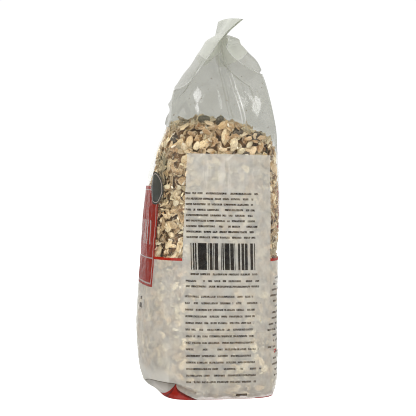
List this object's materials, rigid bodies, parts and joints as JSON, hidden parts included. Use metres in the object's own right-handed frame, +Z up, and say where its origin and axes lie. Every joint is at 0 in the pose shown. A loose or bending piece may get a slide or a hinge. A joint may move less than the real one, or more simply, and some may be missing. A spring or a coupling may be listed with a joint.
{
  "type": "bag of muesli",
  "caption": "Clear film bag of muesli, filled and sealed, with side gussets, a flat folded base to stand on and a gabled top that ends in a thin seal.",
  "frame": {"origin": "on the floor, under the centre of the bag's bounding box", "axes": "+Z up to the seal; the wide front face looks along -Y and the wide back along +Y; the gusset sides look along +X and -X, and the side with the label is +X"},
  "size_m": [0.1022, 0.0872, 0.2334],
  "materials": {
    "film": "clear glossy film over the flakes, with a milky white print, a red line and a red field",
    "muesli": "dry matte grain flakes, raisins, kernels and nuts in cream, tan and brown"
  },
  "bodies": {
    "root": {"muesli_bag": "film"}
  },
  "joints": []
}
